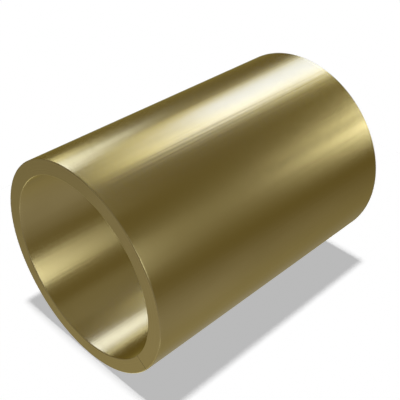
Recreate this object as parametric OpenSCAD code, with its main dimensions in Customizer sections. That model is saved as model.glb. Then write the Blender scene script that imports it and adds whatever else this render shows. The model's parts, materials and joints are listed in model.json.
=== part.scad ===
// Wrapped plain bushing: a bronze strip rolled into a plain sleeve, its two ends butting in a
// straight joint. It stands on one end face, with the bore along Z.

/* [Sleeve] */
// Bore diameter, the nominal size of the shaft
bore_d = 12; // [6:0.5:60]
// Thickness of the strip, which is the wall
strip_t = 1; // [0.75:0.25:3]
// Width of the strip, which is the length of the bushing
bush_l = 20; // [6:0.5:80]

/* [Edges] */
// Break at the four edges of the end faces
end_break = 0.05; // [0.02:0.01:0.25]
// Break along the four edges of the butt joint
joint_break = 0.06; // [0.02:0.01:0.25]

/* [Butt joint] */
// Hairline left between the butting ends
joint_gap = 0.03; // [0.01:0.01:0.5]
// Place of the joint round the bore, turned from +X towards +Y
joint_turn = 234; // [0:1:359]

/* [Hidden] */
$fn = 180;
bore_r = bore_d / 2;
outer_r = bore_r + strip_t;
over = strip_t / 2;          // how far the joint's cutter runs past the faces that it opens
bronze = "#7C6E43";          // bare rolled bronze, olive gold

// Half section of the wall, from the bore to the outside, with its four corners broken
module wall_section() {
    polygon([
        [bore_r + end_break, 0],
        [outer_r - end_break, 0],
        [outer_r, end_break],
        [outer_r, bush_l - end_break],
        [outer_r - end_break, bush_l],
        [bore_r + end_break, bush_l],
        [bore_r, bush_l - end_break],
        [bore_r, end_break]
    ]);
}

// Plan of one half of the joint, beside the X axis: straight through the wall, flared at the
// bore and at the outside by the break of the strip's edges
module joint_half_plan() {
    half_gap = joint_gap / 2;
    flare = half_gap + joint_break + over;
    polygon([
        [bore_r - over, 0],
        [outer_r + over, 0],
        [outer_r + over, flare],
        [outer_r - joint_break, half_gap],
        [bore_r + joint_break, half_gap],
        [bore_r - over, flare]
    ]);
}

// All that the joint takes out of the wall, along the X axis
module joint_space() {
    translate([0, 0, -over])
        linear_extrude(bush_l + 2 * over) {
            joint_half_plan();
            mirror([0, 1]) joint_half_plan();
        }
}

module rolled_sleeve() {
    color(bronze)
        rotate([0, 0, joint_turn])
            difference() {
                rotate_extrude() wall_section();
                joint_space();
            }
}

rolled_sleeve();
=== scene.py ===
import json
import math

import bpy
from mathutils import Matrix, Vector


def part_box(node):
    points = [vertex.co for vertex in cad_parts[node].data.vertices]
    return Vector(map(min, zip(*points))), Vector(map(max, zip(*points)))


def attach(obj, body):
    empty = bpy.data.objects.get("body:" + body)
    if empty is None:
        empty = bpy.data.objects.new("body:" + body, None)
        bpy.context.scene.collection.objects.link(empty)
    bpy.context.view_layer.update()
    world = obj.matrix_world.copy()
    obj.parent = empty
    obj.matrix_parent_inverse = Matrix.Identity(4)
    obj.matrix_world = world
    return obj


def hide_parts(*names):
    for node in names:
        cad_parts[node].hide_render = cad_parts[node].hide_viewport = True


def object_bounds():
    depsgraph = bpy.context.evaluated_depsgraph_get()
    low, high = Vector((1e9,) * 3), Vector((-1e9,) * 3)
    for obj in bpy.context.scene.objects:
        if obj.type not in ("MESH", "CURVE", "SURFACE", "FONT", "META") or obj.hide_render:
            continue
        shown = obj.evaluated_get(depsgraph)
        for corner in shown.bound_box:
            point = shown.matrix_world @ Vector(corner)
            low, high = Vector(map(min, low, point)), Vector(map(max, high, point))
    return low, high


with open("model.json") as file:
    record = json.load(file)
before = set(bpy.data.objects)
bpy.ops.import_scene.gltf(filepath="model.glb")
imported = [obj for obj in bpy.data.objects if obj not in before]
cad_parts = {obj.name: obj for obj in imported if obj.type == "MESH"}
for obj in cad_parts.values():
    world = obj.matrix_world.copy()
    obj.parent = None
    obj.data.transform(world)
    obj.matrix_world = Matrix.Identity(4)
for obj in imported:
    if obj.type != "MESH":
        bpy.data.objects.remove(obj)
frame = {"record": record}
cadLow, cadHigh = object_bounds()
print("frame loaded: the packed sleeve")

mm = 0.001  # the piece is worked out in millimetres, the scene is in metres


# what the sleeve, its finish and the studio all use

def deselectAll():
    if bpy.context.object and bpy.context.object.mode != "OBJECT":
        bpy.ops.object.mode_set(mode="OBJECT")
    bpy.ops.object.select_all(action="DESELECT")


def linearColour(hexText):
    channels = [int(hexText[i:i + 2], 16) / 255 for i in (1, 3, 5)]
    linear = [c / 12.92 if c <= 0.04045 else ((c + 0.055) / 1.055) ** 2.4 for c in channels]
    return (*linear, 1.0)


def addNode(owner, kind, inputs=None, **settings):
    # the owner is a material or the world. An input takes another node, one of a node's outputs,
    # or a fixed value
    node = owner.node_tree.nodes.new("ShaderNode" + kind)
    for name, setting in settings.items():
        setattr(node, name, setting)
    for socket, value in (inputs or {}).items():
        if isinstance(value, bpy.types.Node):
            value = value.outputs[0]
        if isinstance(value, bpy.types.NodeSocket):
            owner.node_tree.links.new(value, node.inputs[socket])
        else:
            node.inputs[socket].default_value = value
    return node


def emptyMaterial(name):
    material = bpy.data.materials.new(name)
    material.use_nodes = True
    material.node_tree.nodes.clear()
    material.cycles.emission_sampling = "NONE"  # what glows isn't sampled as a lamp
    return material


# the sleeve: one strip of bronze, rolled until its ends butt

sleeve = {
    "name": "bushing_sleeve",
    "endBreak": 0.05,      # mm, worn off the edges of both end faces
    "jointBreak": 0.06,    # mm, along the strip's butting edges
    "jointGap": 0.03,      # mm, the hairline between the ends
    "jointTurn": 234,      # degrees round from +X, away from the photo's view
    "steps": 240,          # facets round the sleeve
    "breakSteps": 3,       # facets across each broken edge
    "smoothUpTo": 12,      # degrees between faces that still shade as one
}


def boreRadiusOf(record):
    return next(m["dims"]["r_mm"] for m in record["mounts"] if m["name"] == "bore")


def rollSleeve(size):
    low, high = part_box("rolled_sleeve")
    outerRadius = (high.x - low.x) / 2 / mm
    length = (high.z - low.z) / mm
    boreRadius = boreRadiusOf(frame["record"])
    midRadius = (outerRadius + boreRadius) / 2
    gapAngle = size["jointGap"] / midRadius
    start = math.radians(size["jointTurn"]) - gapAngle / 2

    deselectAll()
    # the strip's cut end, a plane across the wall
    bpy.ops.mesh.primitive_plane_add(
        size=1,
        location=(midRadius * math.cos(start), midRadius * math.sin(start), length / 2),
        rotation=(math.pi / 2, 0, start))
    piece = bpy.context.object
    piece.name = size["name"]
    piece.scale = (outerRadius - boreRadius, length, 1)
    bpy.ops.object.transform_apply(location=True, rotation=True, scale=True)

    bpy.ops.object.mode_set(mode="EDIT")
    bpy.ops.mesh.select_all(action="SELECT")
    bpy.ops.mesh.bevel(offset=size["endBreak"], segments=size["breakSteps"], affect="VERTICES")
    bpy.ops.mesh.select_all(action="SELECT")
    bpy.ops.mesh.spin(steps=size["steps"], angle=2 * math.pi - gapAngle,
                      center=(0, 0, 0), axis=(0, 0, 1))

    # break the four long edges of the joint, on the two cut ends, the only faces with many corners
    bpy.ops.mesh.select_mode(type="EDGE")
    bpy.ops.mesh.select_all(action="DESELECT")
    bpy.ops.object.mode_set(mode="OBJECT")
    mesh = piece.data
    ends = [face for face in mesh.polygons if len(face.vertices) > 4]
    endEdges = {key for face in ends for key in face.edge_keys}
    for edge in mesh.edges:
        a, b = (mesh.vertices[i].co for i in edge.vertices)
        edge.select = edge.key in endEdges and abs(a.z - b.z) > length / 2
    bpy.ops.object.mode_set(mode="EDIT")
    bpy.ops.mesh.bevel(offset=size["jointBreak"], segments=size["breakSteps"], affect="EDGES")

    bpy.ops.mesh.select_all(action="SELECT")
    bpy.ops.transform.resize(value=(mm, mm, mm), center_override=(0, 0, 0))
    bpy.ops.object.mode_set(mode="OBJECT")
    bpy.ops.object.shade_smooth_by_angle(angle=math.radians(size["smoothUpTo"]))
    return piece


bushing = rollSleeve(sleeve)
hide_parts("rolled_sleeve")
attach(bushing, "root")
bushing.visible_glossy = bushing.visible_diffuse = False  # it mirrors the studio, never itself
print("sleeve rolled:", len(bushing.data.polygons), "faces")


# bare tin bronze, cold rolled to strip, rolled up and pushed through a sizing die: an even olive
# gold whose satin gloss draws the studio's softboxes out into soft streaks along the axis

bronze = {
    "colour": "#7F714B",       # where it is rubbed clean
    "film": "#796B45",         # under the thin film that handling leaves
    "filmPatch": 3.5,          # mm across a patch of that film
    "filmStretch": 2,          # times longer along the axis
    "filmFrom": 0.3,           # the part of the noise where the film starts
    "filmFull": 0.7,           # and where it is at its thickest
    "filmStreak": 0.25,        # share of it that follows the die marks
    "filmAtEnds": 0.3,         # share of it that stays on the rubbed ends
    "edgeTint": "#D6CFB8",     # how white the metal turns towards its outline
    "cleanRoughness": 0.235,
    "filmRoughness": 0.265,
    "endRoughness": 0.28,      # the end faces are cut, not burnished
    "endFacing": 0.9,          # an end face's normal lies at least this far along Z
    "dieMark": 0.22,           # mm, real ones are ten times finer and wouldn't show
    "dieGrain": 0.6,           # how strong the finest of them are beside the widest
    "markRun": 24,             # mm that one mark runs on
    "rollMark": 0.16,          # mm, drawn coarser than real too
    "rollShare": 0.08,         # the rolls mark the wall less than the die does
    "cutMark": 0.07,           # mm between the rings that the facing tool leaves
    "markDepth": 0.007,        # mm
    "rubbed": 0.35,            # mm from each end that handling keeps clean
    "dirtAndShade": "#2A2414",         # painted shade in the joint's hairline, with the oil and dust it holds
    "dirtAndShadeReach": 0.03,         # mm to each side of the joint's middle
    "hairlineRoughness": 0.6,
}


def bronzeMaterial(look, size):
    material = emptyMaterial("rolledTinBronze")
    place = addNode(material, "TexCoord")
    inMm = addNode(material, "VectorMath", {0: place.outputs["Object"], 1: [1 / mm] * 3},
                   operation="MULTIPLY")
    parts = addNode(material, "SeparateXYZ", {0: inMm})

    # faint lines along the axis from the die, and round the sleeve from the strip's rolls
    across, along = 1 / look["dieMark"], 1 / look["markRun"]
    dieLines = addNode(material, "Mapping", {"Vector": inMm, "Scale": (across, across, along)})
    dieMarks = addNode(material, "TexNoise", {"Vector": dieLines, "Scale": 1, "Detail": 3,
                                              "Roughness": look["dieGrain"]})
    rollLines = addNode(material, "Mapping",
                        {"Vector": inMm, "Scale": (along, along, 1 / look["rollMark"])})
    rollMarks = addNode(material, "TexNoise", {"Vector": rollLines, "Scale": 1, "Detail": 1})
    wallMarks = addNode(material, "Math", {0: rollMarks, 1: look["rollShare"], 2: dieMarks},
                        operation="MULTIPLY_ADD")

    # the end faces carry the rings of the facing cut instead, by their distance from the axis
    inPlan = addNode(material, "CombineXYZ", {"X": parts.outputs["X"], "Y": parts.outputs["Y"]})
    fromAxis = addNode(material, "VectorMath", {0: inPlan}, operation="LENGTH")
    ringPlace = addNode(material, "Math", {0: fromAxis.outputs["Value"], 1: look["cutMark"]},
                        operation="DIVIDE")
    rings = addNode(material, "TexNoise", {"W": ringPlace, "Scale": 1, "Detail": 2},
                    noise_dimensions="1D")
    facing = addNode(material, "SeparateXYZ", {0: place.outputs["Normal"]})
    upright = addNode(material, "Math", {0: facing.outputs["Z"]}, operation="ABSOLUTE")
    onEnd = addNode(material, "Math", {0: upright, 1: look["endFacing"]},
                    operation="GREATER_THAN")
    marks = addNode(material, "Mix", {0: onEnd, 2: wallMarks, 3: rings}, data_type="FLOAT")

    # the film lies in soft patches, streaked a little along the die marks, and both ends are
    # rubbed clean of it
    patch = 1 / look["filmPatch"]
    patches = addNode(material, "Mapping",
                      {"Vector": inMm, "Scale": (patch, patch, patch / look["filmStretch"])})
    cloud = addNode(material, "TexNoise", {"Vector": patches, "Scale": 1, "Detail": 4})
    softCloud = addNode(material, "MapRange", {"Value": cloud, "From Min": look["filmFrom"],
                                               "From Max": look["filmFull"]})
    streaked = addNode(material, "Mix", {0: look["filmStreak"], 2: softCloud, 3: dieMarks},
                       data_type="FLOAT")
    halfLength = (cadHigh.z - cadLow.z) / 2 / mm
    fromMiddle = addNode(material, "Math", {0: parts.outputs["Z"], 1: halfLength},
                         operation="SUBTRACT")
    toEnd = addNode(material, "Math", {0: fromMiddle}, operation="ABSOLUTE")
    kept = addNode(material, "MapRange",
                   {"Value": toEnd, "From Min": halfLength - look["rubbed"], "From Max": halfLength,
                    "To Min": 1.0, "To Max": look["filmAtEnds"]})
    film = addNode(material, "Math", {0: streaked, 1: kept}, operation="MULTIPLY")

    # the joint's hairline is painted dark: painted shade in the gap, with the oil and dust it holds,
    # but the end faces are cut clean across it
    turned = addNode(material, "Mapping", {"Vector": inMm,
                                           "Rotation": (0, 0, -math.radians(size["jointTurn"]))})
    jointParts = addNode(material, "SeparateXYZ", {0: turned})
    offJoint = addNode(material, "Math", {0: jointParts.outputs["Y"]}, operation="ABSOLUTE")
    nearJoint = addNode(material, "MapRange",
                        {"Value": offJoint, "From Min": look["dirtAndShadeReach"] / 2,
                         "From Max": look["dirtAndShadeReach"], "To Min": 1.0, "To Max": 0.0})
    jointSide = addNode(material, "Math", {0: jointParts.outputs["X"], 1: 0.0},
                        operation="GREATER_THAN")
    atJoint = addNode(material, "Math", {0: nearJoint, 1: jointSide}, operation="MULTIPLY")
    offEnd = addNode(material, "Math", {0: 1.0, 1: onEnd}, operation="SUBTRACT")
    # mask of painted shade and dirt along the joint's hairline, kept off the end faces
    dirtAndShade = addNode(material, "Math", {0: atJoint, 1: offEnd}, operation="MULTIPLY")

    metal = addNode(material, "MixRGB", {"Fac": film, "Color1": linearColour(look["colour"]),
                                         "Color2": linearColour(look["film"])})
    # the hairline's colour: painted shade in the gap, with oil and dust
    colour = addNode(material, "MixRGB", {"Fac": dirtAndShade, "Color1": metal,
                                          "Color2": linearColour(look["dirtAndShade"])})
    wallGloss = addNode(material, "MapRange", {"Value": film, "To Min": look["cleanRoughness"],
                                               "To Max": look["filmRoughness"]})
    gloss = addNode(material, "Mix", {0: onEnd, 2: wallGloss, 3: look["endRoughness"]},
                    data_type="FLOAT")
    roughness = addNode(material, "Mix", {0: dirtAndShade, 2: gloss, 3: look["hairlineRoughness"]},
                        data_type="FLOAT")
    relief = addNode(material, "Bump", {"Height": marks, "Distance": look["markDepth"] * mm})
    shader = addNode(material, "BsdfPrincipled",
                     {"Base Color": colour, "Metallic": 1.0, "Roughness": roughness,
                      "Specular Tint": linearColour(look["edgeTint"]), "Normal": relief})
    addNode(material, "OutputMaterial", {"Surface": shader})
    return material


bushing.data.materials.append(bronzeMaterial(bronze, sleeve))
print("bronze ready")


# the floor: a small white sheet along the sleeve's side, which takes its shadow. From behind it
# is clear

floorSheet = {
    "across": 40,   # mm
    "along": 50,    # mm
    "below": 0.02,  # mm under the sleeve
    "glow": 0.49,   # the part of white that the shadow leaves
    "paper": 0.8,   # what it gives back of the overhead lamp's light
}


def floorMaterial(look):
    material = emptyMaterial("whiteFloor")
    glow = addNode(material, "Emission", {"Strength": look["glow"]})
    paper = addNode(material, "BsdfDiffuse",
                    {"Color": (look["paper"], look["paper"], look["paper"], 1)})
    lit = addNode(material, "AddShader", {0: glow, 1: paper})
    side = addNode(material, "NewGeometry")
    clear = addNode(material, "BsdfTransparent")
    sheet = addNode(material, "MixShader", {0: side.outputs["Backfacing"], 1: lit, 2: clear})
    addNode(material, "OutputMaterial", {"Surface": sheet})
    return material


def addFloor(look):
    deselectAll()
    bpy.ops.mesh.primitive_plane_add(
        size=1, rotation=(0, math.pi / 2, 0),
        location=(cadLow.x - look["below"] * mm, 0, (cadLow.z + cadHigh.z) / 2))
    sheet = bpy.context.object
    sheet.name = "floorSheet"
    sheet.scale = (look["along"] * mm, look["across"] * mm, 1)
    sheet.data.materials.append(floorMaterial(look))
    sheet.visible_glossy = False  # the metal sees the tent there instead


addFloor(floorSheet)
print("floor laid")


# only the metal sees what stands round it: a glowing tent under the sleeve, whose colour is painted
# light that the metal mirrors, and softboxes

tent = {
    "radius": 1.6,        # metres
    "segments": 48,       # facets round the tent
    "rings": 24,          # and down it
    "edgeBelow": 1,       # mm under the sleeve's lower face
    "colour": "#B3A55D",  # the painted dim warm glow of its far side, which the metal mirrors
    "lean": 0.43,         # its glowing white side, a painted reflection of the floor, stands over the floor, turned this much towards -Y
    "whiteUpTo": -0.9,    # parts of the radius from the middle, across the tent
    "dimGlowFrom": -0.5,
}


def tentMaterial(look):
    material = emptyMaterial("tentGlow")
    place = addNode(material, "TexCoord")
    scale = 1 / look["radius"]
    side = addNode(material, "VectorMath", {0: place.outputs["Object"],
                                            1: (scale, look["lean"] * scale, 0)},
                   operation="DOT_PRODUCT")
    dimSide = addNode(material, "MapRange", {"Value": side.outputs["Value"],
                                           "From Min": look["whiteUpTo"],
                                           "From Max": look["dimGlowFrom"]})
    colour = addNode(material, "MixRGB", {"Fac": dimSide, "Color1": linearColour("#FFFFFF"),
                                          "Color2": linearColour(look["colour"])})
    # the tent glows with painted light: white on the floor's side, a dim warm glow elsewhere
    glow = addNode(material, "Emission", {"Color": colour, "Strength": 1.0})
    addNode(material, "OutputMaterial", {"Surface": glow})
    return material


def addTent(look):
    deselectAll()
    bpy.ops.mesh.primitive_uv_sphere_add(segments=look["segments"], ring_count=look["rings"],
                                         radius=look["radius"])
    dome = bpy.context.object
    dome.name = "glowingTent"
    bpy.ops.object.mode_set(mode="EDIT")
    bpy.ops.mesh.select_all(action="SELECT")
    bpy.ops.mesh.bisect(plane_co=(0, 0, -look["edgeBelow"] * mm), plane_no=(0, 0, 1),
                        clear_outer=True)
    bpy.ops.object.mode_set(mode="OBJECT")
    dome.data.materials.append(tentMaterial(look))
    dome.visible_camera = dome.visible_diffuse = dome.visible_shadow = False


addTent(tent)


# a place in the studio as seen from the sleeve: around from +X towards +Y, and tilted up from -Z.
# A light there faces the sleeve, turned about its own middle

def studioPlace(look, distance):
    around, tilt, turn = (math.radians(look[key]) for key in ("around", "tilt", "turn"))
    out = Vector((math.sin(tilt) * math.cos(around), math.sin(tilt) * math.sin(around),
                  -math.cos(tilt)))
    across = Vector((-math.sin(around), math.cos(around), 0))
    upward = out.cross(across)
    right = across * math.cos(turn) + upward * math.sin(turn)
    top = upward * math.cos(turn) - across * math.sin(turn)
    turned = Matrix((right, top, right.cross(top))).transposed().to_4x4()
    return Matrix.Translation(out * distance) @ turned


def studioSize(look, distance):
    return [2 * distance * math.tan(math.radians(look[key] / 2)) for key in ("wide", "high")]


# most lamps are cool, so that their glints come out cream on the olive metal
gels = {"clear": "#F3FFF3", "cool": "#DCEAFF", "blue": "#ADC0FF", "deepBlue": "#587AFF",
        "straw": "#F7FFC0"}

softboxDistance = 1.0  # metres from the sleeve

# angles are in degrees, and a level of 1 is as bright as plain white
softboxes = [
    # the long streak on the outside, and its bright middle
    {"name": "keyWide", "around": 40, "tilt": 43, "wide": 25, "high": 35, "turn": 0,
     "level": 3.5, "gel": "clear"},
    {"name": "keyCore", "around": 35, "tilt": 37, "wide": 25, "high": 33, "turn": 0,
     "level": 12.5, "gel": "deepBlue"},
    # the soft step below that streak
    {"name": "keyStep", "around": 15, "tilt": 40, "wide": 8, "high": 40, "turn": -30,
     "level": 5.0, "gel": "straw"},
    # the glint at the foot of the bore, which the outside repeats beside its near edge
    {"name": "boreFoot", "around": 55, "tilt": 67, "wide": 24, "high": 11, "turn": -25,
     "level": 12.5, "gel": "blue"},
    {"name": "nearEdge", "around": 75, "tilt": 65, "wide": 8, "high": 5, "turn": 30,
     "level": 8.0, "gel": "cool"},
    # the glint on the outside at its far end, with a long faint tail
    {"name": "farEnd", "around": -75, "tilt": 35, "wide": 23, "high": 10, "turn": 20,
     "level": 13.0, "gel": "cool"},
    {"name": "farTail", "around": -35, "tilt": 35, "wide": 25, "high": 5, "turn": -25,
     "level": 13.0, "gel": "cool"},
    # the band across the middle of the bore, and the dim light beside it
    {"name": "boreBand", "around": -65, "tilt": 80, "wide": 30, "high": 23, "turn": -5,
     "level": 8.5, "gel": "cool"},
    {"name": "boreSide", "around": -5, "tilt": 70, "wide": 30, "high": 18, "turn": 5,
     "level": 0.5, "gel": "cool"},
    # two strips that light the side away from the photo's view
    {"name": "backWide", "around": 160, "tilt": 94, "wide": 14, "high": 36, "turn": 0,
     "level": 3.0, "gel": "cool"},
    {"name": "backSlim", "around": 208, "tilt": 94, "wide": 7, "high": 36, "turn": 0,
     "level": 3.0, "gel": "cool"},
]


def addSoftbox(look, distance):
    width, height = studioSize(look, distance)
    deselectAll()
    bpy.ops.object.light_add(type="AREA")
    lamp = bpy.context.object
    lamp.name = look["name"]
    lamp.matrix_world = studioPlace(look, distance)
    lamp.data.shape = "RECTANGLE"
    lamp.data.size, lamp.data.size_y = width, height
    lamp.data.color = linearColour(gels[look["gel"]])[:3]
    lamp.data.energy = look["level"] * math.pi * width * height  # so its face glows at the level
    lamp.data.use_shadow = False  # the bore mirrors the studio as the outside does
    lamp.visible_camera = lamp.visible_diffuse = False


for softbox in softboxes:
    addSoftbox(softbox, softboxDistance)
print("softboxes hung:", len(softboxes))

overhead = {
    "strength": 2.0,
    "angle": 5.0,      # degrees, so that its shadow on the sheet has a slightly soft edge
    "distance": 0.5,   # metres, over the sheet
}


def addOverhead(look):
    deselectAll()
    bpy.ops.object.light_add(type="SUN", location=(look["distance"], 0, (cadLow.z + cadHigh.z) / 2),
                             rotation=(0, math.pi / 2, 0))
    sun = bpy.context.object
    sun.name = "overhead"
    sun.data.energy = look["strength"]
    sun.data.angle = math.radians(look["angle"])
    sun.visible_glossy = False


addOverhead(overhead)

# the backdrop is plain white to the camera. In the metal it is brighter low on the floor's side.
# A side is how far a direction lies along X, from -1 at the floor to 1 overhead
sweep = {
    "floorSide": -0.77,
    "floorLevel": 1.2,
    "openSide": -0.48,
    "openLevel": 0.75,
}


def lightWorld(look):
    world = bpy.data.worlds.new("whiteStudio")
    bpy.context.scene.world = world
    world.use_nodes = True
    world.cycles.sampling_method = "NONE"
    world.node_tree.nodes.clear()
    path = addNode(world, "LightPath")
    direction = addNode(world, "TexCoord")
    sides = addNode(world, "SeparateXYZ", {0: direction.outputs["Generated"]})
    level = addNode(world, "MapRange", {"Value": sides.outputs["X"],
                                        "From Min": look["floorSide"], "From Max": look["openSide"],
                                        "To Min": look["floorLevel"], "To Max": look["openLevel"]})
    mirrored = addNode(world, "Math", {0: path.outputs["Is Glossy Ray"],
                                       1: path.outputs["Is Transmission Ray"]},
                       operation="MAXIMUM")
    strength = addNode(world, "Math", {0: mirrored, 1: level, 2: path.outputs["Is Camera Ray"]},
                       operation="MULTIPLY_ADD")
    backdrop = addNode(world, "Background", {"Color": linearColour("#FFFFFF"), "Strength": strength})
    addNode(world, "OutputWorld", {"Surface": backdrop})


lightWorld(sweep)
print("studio lit")


# the camera: the photograph's isometric view, with +X up in the picture

camera = {
    "distance": 49.5,     # mm from the sleeve's middle
    "fieldOfView": 30,    # degrees
    "sensor": 36,         # mm
    "clipStart": 1,       # mm
}


def addCamera(look):
    centre = (cadLow + cadHigh) / 2
    back = Vector((1, -1, 1)).normalized()
    right = Vector((1, 0, 0)).cross(back).normalized()
    deselectAll()
    bpy.ops.object.camera_add()
    view = bpy.context.object
    view.name = "photoView"
    turned = Matrix((right, back.cross(right), back)).transposed().to_4x4()
    view.matrix_world = Matrix.Translation(centre + back * look["distance"] * mm) @ turned
    view.data.sensor_width = look["sensor"]
    view.data.lens = look["sensor"] / 2 / math.tan(math.radians(look["fieldOfView"] / 2))
    view.data.clip_start = look["clipStart"] * mm
    bpy.context.scene.camera = view


addCamera(camera)
print("camera set")
bpy.context.scene.view_settings.view_transform = "Standard"
